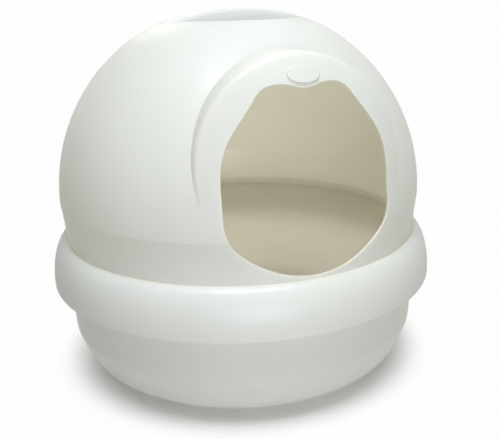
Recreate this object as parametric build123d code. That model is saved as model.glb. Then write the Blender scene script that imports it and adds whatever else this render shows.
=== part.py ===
"""Dome litter box: a round pan, a lift-off hood with a proud arched entrance, and a
crown cap with a sunk grip bar over a filter tray and its filter pad.

Millimetres, +Z up. The origin is on the floor under the centre of the pan, and the
entrance faces -Y.
"""
import math
import os

from build123d import *

# Plastic walls and the clearances between pieces.
pan_wall = 3.2
hood_wall = 3.0
seat_gap = 0.3
slip_gap = 0.5

# Pan: flat foot, sloping bottom, rounded side and a nearly upright wall. Radii are
# given by how far each point lies inside the wall's own radius.
pan_r = 234.6
foot_in = 58.6
foot_w = 28.0
foot_h = 3.0
floor_h = 6.2
bilge_in = 18.1
bilge_z = 22.5
side_in = 2.3
side_z = 62.0
wall_z = 125.0
pan_bend = 34.0
bead_h = 4.0
bead_out = 4.0
bead_drop = 8.0

# Hood: wall above the skirt, round dome and flattened crown.
junction_z = 183.4
junction_in = 1.8
dome_swell = 3.5
equator_up = 48.7
crown_blend_r = 130.0
crown_flat = 5.8

# Skirt: the bulging collar that covers the pan's rim.
skirt_out = 21.2
skirt_h = 55.4
skirt_edge = 3.2
lip_wall = 2.3
lip_h = 7.4

# Proud surround of the entrance: an arch in front view, cut by a turned face.
face_out = 2.2
face_bend_up = 2.9
face_bend_r = 390.0
arch_up = 65.9
surround_w = 23.5
arch_round = 7.0

# Entrance: sill arc, rounded corners, shoulders and a dip under the boss.
entry_half_w = 98.5
sill_up = 3.6
sill_r = 126.0
sill_corner_r = 45.0
shoulder_down = 22.0
peak_up = 91.0
peak_x = 27.0
shoulder_in = 7.5
shoulder_up = 51.0
crest_in = 40.5
crest_up = 97.0
dip = 5.0

# Oval boss above the entrance.
boss_w = 37.0
boss_h = 18.5
boss_up = 9.3
boss_proud = 2.0

# Crown opening of the hood: an upper ledge for the cap and a lower one for the tray.
seam_r = 93.0
cap_ledge_w = 6.0
tray_ledge_w = 5.5
ledge_wall = 3.0
ledge_land = 4.0
neck_h = 7.5

# Crown cap: flush with the dome, dished on both sides of a grip bar that runs along X.
cap_wall = 3.0
cap_rim = 3.1
dish_rim = 2.0
dish_slope_w = 19.0
dish_depth = 19.0
dish_bend = 8.0
grip_w = 34.0
grip_draft = 8.0
grip_round = 5.0
vent_count = 7
vent_pitch = 12.0
vent_l = 22.0
vent_w = 4.0

# Filter tray and pad.
tray_wall = 2.0
tray_flange = 1.4
tray_depth = 9.0
tray_slots = 9
tray_slot_w = 6.0
tray_bar_w = 8.0
tray_rim = 8.0
pad_slack = 0.5

# Radii and heights that follow from the sizes above.
pan_inner_r = pan_r - pan_wall
lip_r = pan_inner_r - slip_gap
junction_r = pan_r - junction_in
dome_r = junction_r + dome_swell
skirt_r = junction_r + skirt_out
face_r = junction_r + face_out
arch_r = entry_half_w + surround_w
cap_r = seam_r - slip_gap
neck_r = seam_r - cap_ledge_w
tray_ledge_r = neck_r - tray_ledge_w
dish_r = cap_r - dish_rim
floor_r = dish_r - dish_slope_w
seat_z = junction_z - hood_wall
rim_z = seat_z - seat_gap
lip_z = seat_z - lip_h
skirt_widest_z = junction_z - skirt_h
skirt_edge_z = skirt_widest_z - skirt_edge
equator_z = junction_z + equator_up
dome_top_z = equator_z + dome_r - crown_flat
face_bend_z = equator_z + face_bend_up
arch_z = equator_z + arch_up
sill_z = junction_z + sill_up
shoulder_z = arch_z - shoulder_down
peak_z = arch_z + peak_up
boss_z = peak_z + boss_up
dish_z = dome_top_z - dish_depth


def inset_points(points, depth):
    """Shift an outline to its left by depth, with mitred corners."""
    shifted = []
    last = len(points) - 1
    for i, (r, z) in enumerate(points):
        r0, z0 = points[max(i - 1, 0)]
        r1, z1 = points[min(i + 1, last)]
        before = math.atan2(z - z0, r - r0) if i > 0 else math.atan2(z1 - z, r1 - r)
        after = math.atan2(z1 - z, r1 - r) if i < last else before
        mid = (before + after) / 2
        reach = depth / math.cos((after - before) / 2)
        shifted.append((r - reach * math.sin(mid), z + reach * math.cos(mid)))
    return shifted


def turned(*edges):
    """Revolve a closed outline, drawn as (radius, height), about the Z axis."""
    face = make_face([Plane.XZ * edge for edge in edges])
    return revolve(face, Axis.Z)


def disk(radius, low, high):
    """Upright cylinder between two heights."""
    return extrude(Pos(0, 0, low) * Circle(radius), high - low)


def tube(outer, inner, low, high):
    """Upright ring between two radii and two heights."""
    return disk(outer, low, high) - disk(inner, low, high)


# Pan -----------------------------------------------------------------------

def pan_side(depth):
    """Outline of the pan's side from the foot to the rim, moved in by depth."""
    points = [
        (pan_r - foot_in, 0),
        (pan_r - bilge_in, bilge_z),
        (pan_r - side_in, side_z),
        (pan_r, wall_z),
    ]
    moved = inset_points(points, depth)
    bend = pan_bend - depth
    return FilletPolyline(*moved, (pan_r - depth, rim_z), radius=bend)


def pan_body(depth):
    """Solid bowl of the pan's shape, moved in by depth."""
    side = pan_side(depth)
    low = side @ 0
    high = side @ 1
    return turned(side, Polyline((high.X, high.Y), (0, high.Y), (0, low.Y), (low.X, low.Y)))


def make_pan():
    inside = pan_body(pan_wall) & disk(pan_r, floor_h, rim_z)
    bowl = pan_body(0) - inside
    foot_recess = disk(pan_r - foot_in - foot_w, 0, foot_h)
    bead_top = rim_z - bead_drop
    bead = tube(pan_r + bead_out, pan_r - pan_wall / 2, bead_top - bead_h, bead_top)
    return bowl - foot_recess + bead


# Hood ----------------------------------------------------------------------

def dome(depth):
    """Solid of the hood above the skirt, moved in by depth."""
    radius = dome_r - depth
    low_r = junction_r - depth
    drop = equator_z - junction_z
    bow = (drop**2 + (radius - low_r) ** 2) / (2 * (radius - low_r))
    wall = RadiusArc((low_r, junction_z), (radius, equator_z), bow)
    tilt = math.asin(crown_blend_r / dome_r)
    meet = (radius * math.sin(tilt), equator_z + radius * math.cos(tilt))
    middle = math.pi / 4 + tilt / 2
    halfway = (radius * math.sin(middle), equator_z + radius * math.cos(middle))
    ball = ThreePointArc((radius, equator_z), halfway, meet)
    top = (0, dome_top_z - depth)
    slope = (-math.cos(tilt), math.sin(tilt))
    crown = Spline(meet, top, tangents=[slope, (-1, 0)])
    axis = Polyline(top, (0, junction_z), (low_r, junction_z))
    return turned(wall, ball, crown, axis)


def skirt():
    """Quarter ellipse collar with a rounded edge and a flat seat on the pan's rim."""
    wide = skirt_r - junction_r
    tall = junction_z - skirt_widest_z
    inner_wide = wide - hood_wall
    inner_tall = tall - hood_wall
    centre = (junction_r, skirt_widest_z)
    outer = EllipticalCenterArc(centre, wide, tall, 0, arc_size=90)
    inner = EllipticalCenterArc(centre, inner_wide, inner_tall, 0, arc_size=90)
    outer_low = (skirt_r, skirt_widest_z)
    inner_low = (skirt_r - hood_wall, skirt_widest_z)
    foot = Spline(
        outer_low,
        (skirt_r - hood_wall / 2, skirt_edge_z),
        inner_low,
        tangents=[(0, -1), (0, 1)],
    )
    shelf = Polyline(
        (junction_r, seat_z),
        (lip_r, seat_z),
        (lip_r, lip_z),
        (lip_r - lip_wall, lip_z),
        (lip_r - lip_wall, junction_z),
        (junction_r, junction_z),
    )
    return turned(outer, foot, inner, shelf)


def face_solid(depth):
    """Turned solid whose side is the face of the surround, moved in by depth."""
    radius = face_r - depth
    bend = face_bend_r - depth
    top_z = arch_z + arch_r + arch_round
    rise = top_z - face_bend_z
    top_r = radius - bend + math.sqrt(bend**2 - rise**2)
    face = TangentArc((radius, face_bend_z), (top_r, top_z), tangent=(0, 1))
    rest = Polyline(
        (top_r, top_z), (0, top_z), (0, junction_z), (radius, junction_z), (radius, face_bend_z)
    )
    return turned(face, rest)


def arch_block(depth):
    """Arched block that carries the entrance, moved in by depth."""
    radius = arch_r - depth
    with BuildSketch(Plane.XZ) as outline:
        with BuildLine():
            Line((-radius, arch_z), (-radius, junction_z))
            Line((-radius, junction_z), (radius, junction_z))
            Line((radius, junction_z), (radius, arch_z))
            RadiusArc((radius, arch_z), (-radius, arch_z), -radius)
        make_face()
    block = extrude(outline.sketch, dome_r + arch_round) & face_solid(depth)
    return block & (dome(depth) + disk(skirt_r, equator_z, arch_z + 2 * arch_r))


def entrance():
    """Prism through the front wall, in the shape of the entrance."""
    sill_mid = sill_z + sill_r
    corner_x = entry_half_w - sill_corner_r
    corner_z = sill_mid - math.sqrt((sill_r - sill_corner_r) ** 2 - corner_x**2)
    turn = math.atan2(sill_mid - corner_z, corner_x)
    meet = (sill_r * math.cos(turn), sill_mid - sill_r * math.sin(turn))
    mid = -turn / 2
    corner_mid = (
        corner_x + sill_corner_r * math.cos(mid),
        corner_z + sill_corner_r * math.sin(mid),
    )
    with BuildSketch(Plane.XZ) as outline:
        with BuildLine():
            ThreePointArc((0, sill_z), (sill_r * math.sin((math.pi / 2 - turn) / 2),
                          sill_mid - sill_r * math.cos((math.pi / 2 - turn) / 2)), meet)
            ThreePointArc(meet, corner_mid, (entry_half_w, corner_z))
            Line((entry_half_w, corner_z), (entry_half_w, shoulder_z))
            Spline(
                (entry_half_w, shoulder_z),
                (entry_half_w - shoulder_in, shoulder_z + shoulder_up),
                (entry_half_w - crest_in, shoulder_z + crest_up),
                (peak_x, peak_z),
                tangents=[(0, 1), (-1, 0)],
            )
            Spline((peak_x, peak_z), (0, peak_z - dip), tangents=[(-1, 0), (-1, 0)])
            mirror(about=Plane.YZ)
        make_face()
    return extrude(outline.sketch, dome_r + arch_round)


def boss():
    """Bare oval boss on the surround, above the dip of the entrance."""
    oval = Plane.XZ * Pos(0, boss_z) * Ellipse(boss_w / 2, boss_h / 2)
    return extrude(oval, face_r) & face_solid(-boss_proud) & arch_block(-boss_proud)


def make_hood():
    block = arch_block(0)
    rim = block.edges().filter_by(lambda e: e.center().Y < -arch_r)
    rim = rim.filter_by(lambda e: e.center().Z > junction_z + 1)
    block = fillet(rim, arch_round)
    outer = dome(0) + block
    hollow = dome(hood_wall) + arch_block(hood_wall)
    ledge_top = ledge_z()
    crown_hole = disk(seam_r, ledge_top, dome_top_z) + disk(neck_r, equator_z, ledge_top)
    shell = outer - hollow - crown_hole
    shell = shell + skirt() + crown_ring() + (boss() - hollow)
    return shell - entrance()


def dome_height(radius):
    """Height of the dome's outside at a radius inside the crown."""
    probe = Line((radius, 0, equator_z), (radius, 0, 2 * dome_top_z))
    cut = dome(0) & probe
    return max(v.Z for v in cut.vertices())


def ledge_z():
    return dome_height(cap_r) - cap_rim - seat_gap


def crown_ring():
    """Stepped ring inside the crown: the cap's ledge, a neck and the tray's ledge."""
    upper = ledge_z()
    lower = upper - neck_h
    ledge = tube(seam_r + ledge_land, neck_r, upper - ledge_wall, upper) & dome(0)
    neck = tube(neck_r + ledge_wall, neck_r, lower - ledge_wall, upper)
    return ledge + neck + tube(neck_r + ledge_wall, tray_ledge_r, lower - ledge_wall, lower)


# Crown ---------------------------------------------------------------------

def dish(depth):
    """Round dish with sloping sides, moved out by depth."""
    rim_z = dome_height(dish_r)
    low = dish_z - depth
    top = dome_top_z + cap_wall
    side = FilletPolyline(
        (dish_r + depth, top), (dish_r + depth, rim_z), (floor_r + depth, low), (0, low),
        radius=dish_bend,
    )
    return turned(side, Polyline((0, low), (0, top), (dish_r + depth, top)))


def grip(inset):
    """Tapered wall along X that stays standing between the two halves of the dish."""
    half = grip_w / 2 - inset
    foot = half + grip_draft
    low = dish_z - cap_wall - 1
    section = Polyline(
        (-foot, low), (foot, low), (half, dome_top_z), (-half, dome_top_z), (-foot, low)
    )
    return extrude(make_face(Plane.YZ * section), 2 * seam_r, both=True)


def vents():
    """Slots through the floor of the dish, in a row on each side of the grip."""
    middle = (grip_w / 2 + grip_draft + floor_r) / 2
    slot = Rot(0, 0, 90) * SlotOverall(vent_l, vent_w)
    low = dish_z - 2 * cap_wall
    cuts = []
    for side in (-1, 1):
        for i in range(vent_count):
            x = (i - (vent_count - 1) / 2) * vent_pitch
            reach = math.sqrt(middle**2 - x**2)
            cuts.append(extrude(Pos(x, side * reach, low) * slot, 3 * cap_wall))
    return cuts


def grip_bar():
    """Upper part of the grip, rounded along its two crests, down into the dish."""
    bar = grip(0) & dome(0)
    crests = bar.edges().filter_by(
        lambda e: e.bounding_box().size.X > 2 * seam_r
        and e.bounding_box().max.Z > dome_top_z - grip_round
    )
    bar = fillet(crests, grip_round)
    return bar & disk(dish_r + cap_wall / 2, dish_z - cap_wall, dome_top_z) & dish(cap_wall / 2)


def make_cap():
    rim_low = ledge_z() + seat_gap
    lid = dome(0) & disk(cap_r, rim_low, dome_top_z)
    under = dish(cap_wall) & disk(neck_r - slip_gap, dish_z - cap_wall, dome_top_z) & dome(0)
    body = (lid + under) - dish(0) + grip_bar()
    body = body - (grip(cap_wall) & dome(cap_wall) & disk(floor_r, rim_low / 2, dome_top_z))
    for slot in vents():
        body = body - slot
    return body


def make_tray():
    top = ledge_z() - neck_h + seat_gap
    tray_r = tray_ledge_r - slip_gap
    low = top - tray_depth
    wall = tube(tray_r, tray_r - tray_wall, low, top)
    flange = tube(neck_r - slip_gap, tray_r - tray_wall, top, top + tray_flange)
    floor = disk(tray_r, low, low + tray_wall)
    pitch = tray_slot_w + tray_bar_w
    reach = tray_r - tray_wall - tray_rim
    for i in range(tray_slots):
        x = (i - (tray_slots - 1) / 2) * pitch
        length = 2 * math.sqrt(reach**2 - x**2)
        slot = Pos(x, 0, low) * Rot(0, 0, 90) * SlotOverall(length, tray_slot_w)
        floor = floor - extrude(slot, tray_wall)
    return wall + flange + floor


def make_pad():
    radius = tray_ledge_r - slip_gap - tray_wall - slip_gap
    low = ledge_z() - neck_h + seat_gap - tray_depth + tray_wall + seat_gap
    high = dish_z - cap_wall - pad_slack
    pad = disk(radius, low, high)
    return fillet(pad.edges(), (high - low) / 4)


PIECES = {
    "pan": make_pan,
    "hood": make_hood,
    "crown_cap": make_cap,
    "filter_tray": make_tray,
    "filter_pad": make_pad,
}

os.makedirs("parts", exist_ok=True)
for name, make in PIECES.items():
    export_step(make(), f"parts/{name}.step")
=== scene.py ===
"""Dome litter box: looks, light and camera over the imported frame. Metres, +Z up."""
import math

import bmesh
import bpy
from mathutils import Matrix, Vector, noise


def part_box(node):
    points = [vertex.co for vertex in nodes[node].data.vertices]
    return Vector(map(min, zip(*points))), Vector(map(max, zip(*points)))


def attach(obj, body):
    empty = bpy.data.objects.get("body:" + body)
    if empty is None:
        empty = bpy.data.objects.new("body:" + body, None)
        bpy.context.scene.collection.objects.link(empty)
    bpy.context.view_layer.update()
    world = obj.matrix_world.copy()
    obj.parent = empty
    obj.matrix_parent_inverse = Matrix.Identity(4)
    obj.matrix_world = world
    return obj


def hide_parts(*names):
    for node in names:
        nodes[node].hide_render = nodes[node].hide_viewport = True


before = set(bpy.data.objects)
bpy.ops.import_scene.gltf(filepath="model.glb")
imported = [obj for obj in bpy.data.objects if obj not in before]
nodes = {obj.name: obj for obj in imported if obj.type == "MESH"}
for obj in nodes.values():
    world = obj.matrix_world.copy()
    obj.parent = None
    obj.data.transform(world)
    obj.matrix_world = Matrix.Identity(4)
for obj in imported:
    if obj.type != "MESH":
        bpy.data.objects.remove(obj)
scene = bpy.context.scene
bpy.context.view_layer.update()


# Shader graphs ---------------------------------------------------------------

class Value:
    """A shader socket that does maths through Python's own operators."""

    def __init__(self, graph, socket):
        self.graph = graph
        self.socket = socket

    def _math(self, operation, *others):
        made = self.graph.tree.nodes.new("ShaderNodeMath")
        made.operation = operation
        for slot, value in zip(made.inputs, (self, *others)):
            self.graph.feed(slot, value)
        return Value(self.graph, made.outputs[0])

    def __add__(self, other):
        return self._math("ADD", other)

    def __sub__(self, other):
        return self._math("SUBTRACT", other)

    def __mul__(self, other):
        return self._math("MULTIPLY", other)

    def __radd__(self, other):
        return self + other

    def __rmul__(self, other):
        return self * other

    def __rsub__(self, other):
        return self * -1.0 + other

    def largest(self, other):
        return self._math("MAXIMUM", other)

    def ramp(self, low, high):
        """0 at low, 1 at high, eased between them."""
        return self.graph.node(
            "ShaderNodeMapRange", {"Value": self, "From Min": low, "From Max": high},
            interpolation_type="SMOOTHSTEP",
        )


class Graph:
    """One material: its node tree, its Principled shader and the nodes added to it."""

    def __init__(self, name):
        self.material = bpy.data.materials.new(name)
        self.material.use_nodes = True
        self.tree = self.material.node_tree
        self.shader = self.tree.nodes["Principled BSDF"]
        self.output = self.tree.nodes["Material Output"]

    def feed(self, slot, value):
        if isinstance(value, Value):
            self.tree.links.new(value.socket, slot)
        elif hasattr(slot.default_value, "__len__") and len(slot.default_value) == 4:
            slot.default_value = (*value, 1.0)
        else:
            slot.default_value = value

    def node(self, kind, inputs, output=0, **settings):
        made = self.tree.nodes.new(kind)
        for key, value in settings.items():
            setattr(made, key, value)
        for key, value in inputs.items():
            self.feed(made.inputs[key], value)
        return Value(self, made.outputs[output])

    def place(self):
        return self.node("ShaderNodeTexCoord", {}, "Object")

    def noise(self, scale, detail=2.0, roughness=0.5):
        inputs = {
            "Vector": self.place(),
            "Scale": scale,
            "Detail": detail,
            "Roughness": roughness,
        }
        return self.node("ShaderNodeTexNoise", inputs)

    def mix(self, amount, first, second):
        made = self.tree.nodes.new("ShaderNodeMix")
        made.data_type = "RGBA"
        factor, _, _, _, _, _, colour_a, colour_b = list(made.inputs)[:8]
        for slot, value in ((factor, amount), (colour_a, first), (colour_b, second)):
            self.feed(slot, value)
        return Value(self, made.outputs[2])

    def principled(self):
        return Value(self, self.shader.outputs[0])

    def join(self, kind, first, second, start=0):
        """Two shaders into one node, from its input number start on."""
        made = self.tree.nodes.new(kind)
        self.tree.links.new(first.socket, made.inputs[start])
        self.tree.links.new(second.socket, made.inputs[start + 1])
        return Value(self, made.outputs[0])

    def blend(self, amount, first, second):
        made = self.join("ShaderNodeMixShader", first, second, 1)
        self.feed(made.socket.node.inputs[0], amount)
        return made

    def surface(self, shader):
        self.tree.links.new(shader.socket, self.output.inputs[0])

    def bump(self, height, depth, strength=1.0, normal=None):
        inputs = {"Height": height, "Distance": depth, "Strength": strength}
        if normal is not None:
            inputs["Normal"] = normal
        return self.node("ShaderNodeBump", inputs)

    def set(self, **inputs):
        """Principled sockets by name, with _ for a space."""
        for key, value in inputs.items():
            self.feed(self.shader.inputs[key.replace("_", " ")], value)


# Materials -------------------------------------------------------------------

GLOW = (0.985, 0.96, 0.87)
HOOD_WHITE = (0.815, 0.872, 0.912)
HOOD_WARM = (0.803, 0.853, 0.888)
# Hood lining: painted shade. It is darker and warmer than the outside and stands in for the dim,
# filtered light inside the dome.
HOOD_LINING_PAINTED_SHADE = (0.85, 0.832, 0.752)
PAN_WHITE = (0.80, 0.822, 0.85)
PAN_WARM = (0.785, 0.80, 0.82)
# Pan lining: painted light. It is paler and warmer than the outside and stands in for the light
# that reaches the inside of the pan.
PAN_LINING_PAINTED_LIGHT = (0.965, 0.952, 0.89)
TRAY_WHITE = (0.76, 0.76, 0.74)
FLECK_WHITE = (1.0, 1.0, 1.0)
SCUFF_SHADE = 0.86

FELT_DARK = (0.018, 0.018, 0.02)
FELT_TIPS = (0.085, 0.086, 0.09)
FELT_PITS = (0.03, 0.03, 0.032)

HOOD_HEART = (0.0, 0.0, 0.25)
PAN_HEART = (0.0, 0.0, 0.15)

POLYPROPYLENE_IOR = 1.49
GRAIN_DEPTH = 0.00004
FLOW_DEPTH = 0.0006
FELT_DEPTH = 0.0012


def faces_inward(g, heart):
    """1 on walls that face the middle of the box, 0 on walls that face away from it."""
    outward = g.node("ShaderNodeVectorMath", {0: g.place(), 1: heart}, operation="SUBTRACT")
    outward = g.node("ShaderNodeVectorMath", {0: outward}, operation="NORMALIZE")
    normal = g.node("ShaderNodeTexCoord", {}, "Normal")
    away = g.node(
        "ShaderNodeVectorMath", {0: outward, 1: normal}, "Value", operation="DOT_PRODUCT"
    )
    return 1.0 - away.ramp(-0.08, 0.08)


def moulded_plastic(
    name, pale, warm, lining_painted_light, heart, gloss, edge, wear=0.0, clear_outside=0.45, clear_inside=0.38
):
    """Satin pearl polypropylene, thin enough to glow: cool outside. The inward faces take the
    lining colour, which is painted light and shade standing in for the warm light filtered into
    the box.

    Gloss is the roughness, edge the rounding in metres, wear the share of scuffs, and
    the two clear values say how much light the outer and inner faces let through.
    """
    g = Graph(name)
    drift = g.noise(5.0, 3.0)
    grain = g.noise(2600.0, 2.0)
    flow = g.noise(34.0, 4.0, 0.6)
    inward = faces_inward(g, heart)

    tone = g.mix(drift.ramp(0.35, 0.68), pale, warm)
    scuffs = g.noise(160.0, 6.0, 0.75).ramp(0.62, 0.8) * g.noise(12.0, 2.0).ramp(0.45, 0.7)
    tone = g.mix(scuffs * wear, tone, tuple(SCUFF_SHADE * c for c in warm))
    # Painted light and shade: the inward faces take the lining colour in place of the light
    # filtered into the box.
    tone = g.mix(inward, tone, lining_painted_light)
    tone = g.mix(grain.ramp(0.6, 0.85) * 0.05, tone, FLECK_WHITE)

    soft_edge = g.node("ShaderNodeBevel", {"Radius": edge}, samples=6)
    skin = g.bump(grain, GRAIN_DEPTH, 0.35, soft_edge)
    skin = g.bump(flow, FLOW_DEPTH, 0.12, skin)
    g.set(
        Base_Color=tone,
        Roughness=gloss + flow * 0.08 + scuffs * 0.2 * (wear + 0.2),
        IOR=POLYPROPYLENE_IOR,
        Normal=skin,
        Specular_IOR_Level=0.4,
        Coat_Weight=0.1,
        Coat_Roughness=0.22,
    )
    through = g.node("ShaderNodeBsdfTranslucent", {"Color": GLOW, "Normal": skin})
    clear = clear_outside + inward * (clear_inside - clear_outside)
    g.surface(g.blend(clear, g.principled(), through))
    return g.material


def carbon_felt():
    """Needled felt, charcoal grey, with paler fibre tips and pressed pits."""
    g = Graph("carbon_felt")
    fibre = g.noise(900.0, 8.0, 0.8)
    matted = g.noise(120.0, 4.0, 0.6)
    tone = g.mix(fibre.ramp(0.45, 0.7), FELT_DARK, FELT_TIPS)
    tone = g.mix(matted.ramp(0.55, 0.75) * 0.5, tone, FELT_PITS)
    surface = g.bump(fibre + matted * 0.6, FELT_DEPTH, 0.8)
    g.set(Base_Color=tone, Roughness=0.92 + fibre * 0.06, Normal=surface, Sheen_Weight=0.4)
    return g.material


hood_plastic = moulded_plastic(
    "hood_plastic", HOOD_WHITE, HOOD_WARM, HOOD_LINING_PAINTED_SHADE, HOOD_HEART, gloss=0.27, edge=0.0016
)
cap_plastic = moulded_plastic(
    "cap_plastic", HOOD_WHITE, HOOD_WARM, HOOD_LINING_PAINTED_SHADE, HOOD_HEART, gloss=0.29, edge=0.0011
)
pan_plastic = moulded_plastic(
    "pan_plastic", PAN_WHITE, PAN_WARM, PAN_LINING_PAINTED_LIGHT, PAN_HEART, gloss=0.31, edge=0.0014,
    wear=0.5, clear_outside=0.31, clear_inside=0.5,
)
tray_plastic = moulded_plastic(
    "tray_plastic", TRAY_WHITE, TRAY_WHITE, TRAY_WHITE, HOOD_HEART, gloss=0.42, edge=0.0005
)
felt = carbon_felt()


def dress(node, material):
    """A CAD node keeps its mesh and gets this material."""
    mesh = nodes[node].data
    mesh.materials.clear()
    mesh.materials.append(material)


dress("hood", hood_plastic)
dress("crown_cap", cap_plastic)
dress("pan", pan_plastic)
dress("filter_tray", tray_plastic)


# Filter pad ------------------------------------------------------------------

PAD_RINGS = 22
PAD_STEPS = 96
RIM_IN = 0.985
RIM_UP = 0.75
LUMP_SCALE = 90.0
LUMP_DEPTH = 0.0005


def pad_rows(radius, half):
    """Radius and height of each ring, from the middle of the top round to the bottom's."""
    rows = [(radius * i / PAD_RINGS, half) for i in range(PAD_RINGS)]
    rows += [(radius * RIM_IN, half * RIM_UP), (radius, 0.0), (radius * RIM_IN, -half * RIM_UP)]
    rows += [(radius * (1 - (i + 1) / PAD_RINGS), -half) for i in range(PAD_RINGS)]
    return rows


def ring_of_verts(mesh, radius, height):
    """A ring of vertices, or a single one at the pole."""
    if radius < 1e-6:
        return [mesh.verts.new((0, 0, height))]
    angles = (2 * math.pi * k / PAD_STEPS for k in range(PAD_STEPS))
    return [mesh.verts.new((radius * math.cos(a), radius * math.sin(a), height)) for a in angles]


def bridge(mesh, upper, lower):
    """Faces between two rings, as a fan where one of them is a pole."""
    for k in range(PAD_STEPS):
        n = (k + 1) % PAD_STEPS
        if len(upper) == 1:
            mesh.faces.new((upper[0], lower[k], lower[n]))
        elif len(lower) == 1:
            mesh.faces.new((upper[k], lower[0], upper[n]))
        else:
            mesh.faces.new((upper[k], lower[k], lower[n], upper[n]))


def felt_pad():
    """Needled disc: flat faces, a soft rim and a lightly uneven surface."""
    low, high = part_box("filter_pad")
    centre = (low + high) / 2
    mesh = bmesh.new()
    rows = pad_rows((high.x - low.x) / 2, (high.z - low.z) / 2)
    rings = [ring_of_verts(mesh, radius, height) for radius, height in rows]
    for upper, lower in zip(rings, rings[1:]):
        bridge(mesh, upper, lower)
    for v in mesh.verts:
        sink = abs(noise.noise(v.co * LUMP_SCALE)) * LUMP_DEPTH
        v.co.z -= math.copysign(sink, v.co.z)
        v.co += centre
    bmesh.ops.recalc_face_normals(mesh, faces=mesh.faces)
    for face in mesh.faces:
        face.smooth = True
    data = bpy.data.meshes.new("felt_pad")
    mesh.to_mesh(data)
    mesh.free()
    data.materials.append(felt)
    pad = bpy.data.objects.new("felt_pad", data)
    scene.collection.objects.link(pad)
    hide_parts("filter_pad")
    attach(pad, "pad")


felt_pad()


# Floor and light --------------------------------------------------------------

WHITE = (0.985, 0.985, 0.985)
AMBIENT_TINT = (0.86, 0.88, 0.92)
AMBIENT_LEVEL = 0.04
FLOOR_HALF = 6.0
FLOOR_SEEN = (0.86, 0.85, 0.84)
FLOOR_BOUNCE = (0.36, 0.36, 0.355)
FLOOR_LIFT = 0.12
SHADOW_FULL_TO = 0.19
SHADOW_GONE_AT = 0.27


def seen_directly(g):
    """1 for rays from the camera and for mirrored or refracted ones."""
    path = g.tree.nodes.new("ShaderNodeLightPath")
    camera, glossy, through = (
        Value(g, path.outputs[name])
        for name in ("Is Camera Ray", "Is Glossy Ray", "Is Transmission Ray")
    )
    return camera.largest(glossy).largest(through)


def add_floor():
    """Pale floor that keeps the shadow round the foot and fades to plain white."""
    g = Graph("studio_floor")
    seen = seen_directly(g)
    g.set(Base_Color=g.mix(seen, FLOOR_BOUNCE, FLOOR_SEEN), Roughness=0.9)
    glow = g.node("ShaderNodeEmission", {"Color": WHITE, "Strength": FLOOR_LIFT})
    lit = g.join("ShaderNodeAddShader", g.principled(), glow)
    plain = g.node("ShaderNodeEmission", {"Color": WHITE, "Strength": 1.0})
    away = g.node("ShaderNodeVectorMath", {0: g.place()}, "Value", operation="LENGTH")
    lit = g.blend(away.ramp(SHADOW_FULL_TO, SHADOW_GONE_AT), lit, plain)
    g.surface(g.blend(seen, g.principled(), lit))
    far = FLOOR_HALF
    corners = [(-far, -far, 0), (far, -far, 0), (far, far, 0), (-far, far, 0)]
    data = bpy.data.meshes.new("studio_floor")
    data.from_pydata(corners, [], [(0, 1, 2, 3)])
    data.materials.append(g.material)
    floor = bpy.data.objects.new("studio_floor", data)
    scene.collection.objects.link(floor)


def add_world():
    """Soft ambient light, with the pale studio wherever the world is seen."""
    world = bpy.data.worlds.new("studio")
    world.use_nodes = True
    scene.world = world
    tree = world.node_tree
    ambient = tree.nodes["Background"]
    ambient.inputs["Color"].default_value = (*AMBIENT_TINT, 1)
    ambient.inputs["Strength"].default_value = AMBIENT_LEVEL
    white = tree.nodes.new("ShaderNodeBackground")
    white.inputs["Color"].default_value = (*WHITE, 1)
    choose = tree.nodes.new("ShaderNodeMixShader")
    path = tree.nodes.new("ShaderNodeLightPath")
    seen = path.outputs["Is Camera Ray"]
    for kind in ("Is Glossy Ray", "Is Transmission Ray"):
        either = tree.nodes.new("ShaderNodeMath")
        either.operation = "MAXIMUM"
        tree.links.new(seen, either.inputs[0])
        tree.links.new(path.outputs[kind], either.inputs[1])
        seen = either.outputs[0]
    tree.links.new(seen, choose.inputs[0])
    tree.links.new(ambient.outputs[0], choose.inputs[1])
    tree.links.new(white.outputs[0], choose.inputs[2])
    tree.links.new(choose.outputs[0], tree.nodes["World Output"].inputs[0])


def facing(at, aim):
    """Matrix of a lamp or camera at one point, looking at another."""
    return Matrix.Translation(at) @ (aim - at).to_track_quat("-Z", "Y").to_matrix().to_4x4()


def add_lamp(name, at, aim, size, power, color):
    data = bpy.data.lights.new(name, "AREA")
    data.shape = "RECTANGLE"
    data.size, data.size_y = size
    data.energy = power
    data.color = color
    lamp = bpy.data.objects.new(name, data)
    lamp.matrix_world = facing(Vector(at), Vector(aim))
    scene.collection.objects.link(lamp)


LAMPS = {
    "top_softbox": dict(
        at=(-0.16, -0.64, 2.05), aim=(0.0, 0.0, 0.25),
        size=(0.9, 0.7), power=39.0, color=(0.97, 0.985, 1.0),
    ),
    "back_softbox": dict(
        at=(0.35, 1.5, 1.2), aim=(0.0, 0.0, 0.2),
        size=(1.2, 0.8), power=5.0, color=(1.0, 0.99, 0.97),
    ),
    "low_fill": dict(
        at=(-0.3, -1.5, 0.22), aim=(0.0, 0.0, 0.1),
        size=(0.9, 0.4), power=8.2, color=(1.0, 0.985, 0.98),
    ),
}

add_floor()
add_world()
for lamp_name, lamp_settings in LAMPS.items():
    add_lamp(lamp_name, **lamp_settings)


# Camera ------------------------------------------------------------------------

CAMERA_AT = Vector((-0.3125, -0.8313, 0.4699))
CAMERA_AIM = Vector((0.01296, -0.00487, 0.18207))
CAMERA_LENS = 48.41
CAMERA_ROLL = -1.7
SENSOR_WIDTH = 36


def add_camera():
    data = bpy.data.cameras.new("camera")
    data.lens = CAMERA_LENS
    data.sensor_width = SENSOR_WIDTH
    camera = bpy.data.objects.new("camera", data)
    roll = Matrix.Rotation(math.radians(CAMERA_ROLL), 4, "Z")
    camera.matrix_world = facing(CAMERA_AT, CAMERA_AIM) @ roll
    scene.collection.objects.link(camera)
    scene.camera = camera


add_camera()
scene.view_settings.view_transform = "Standard"
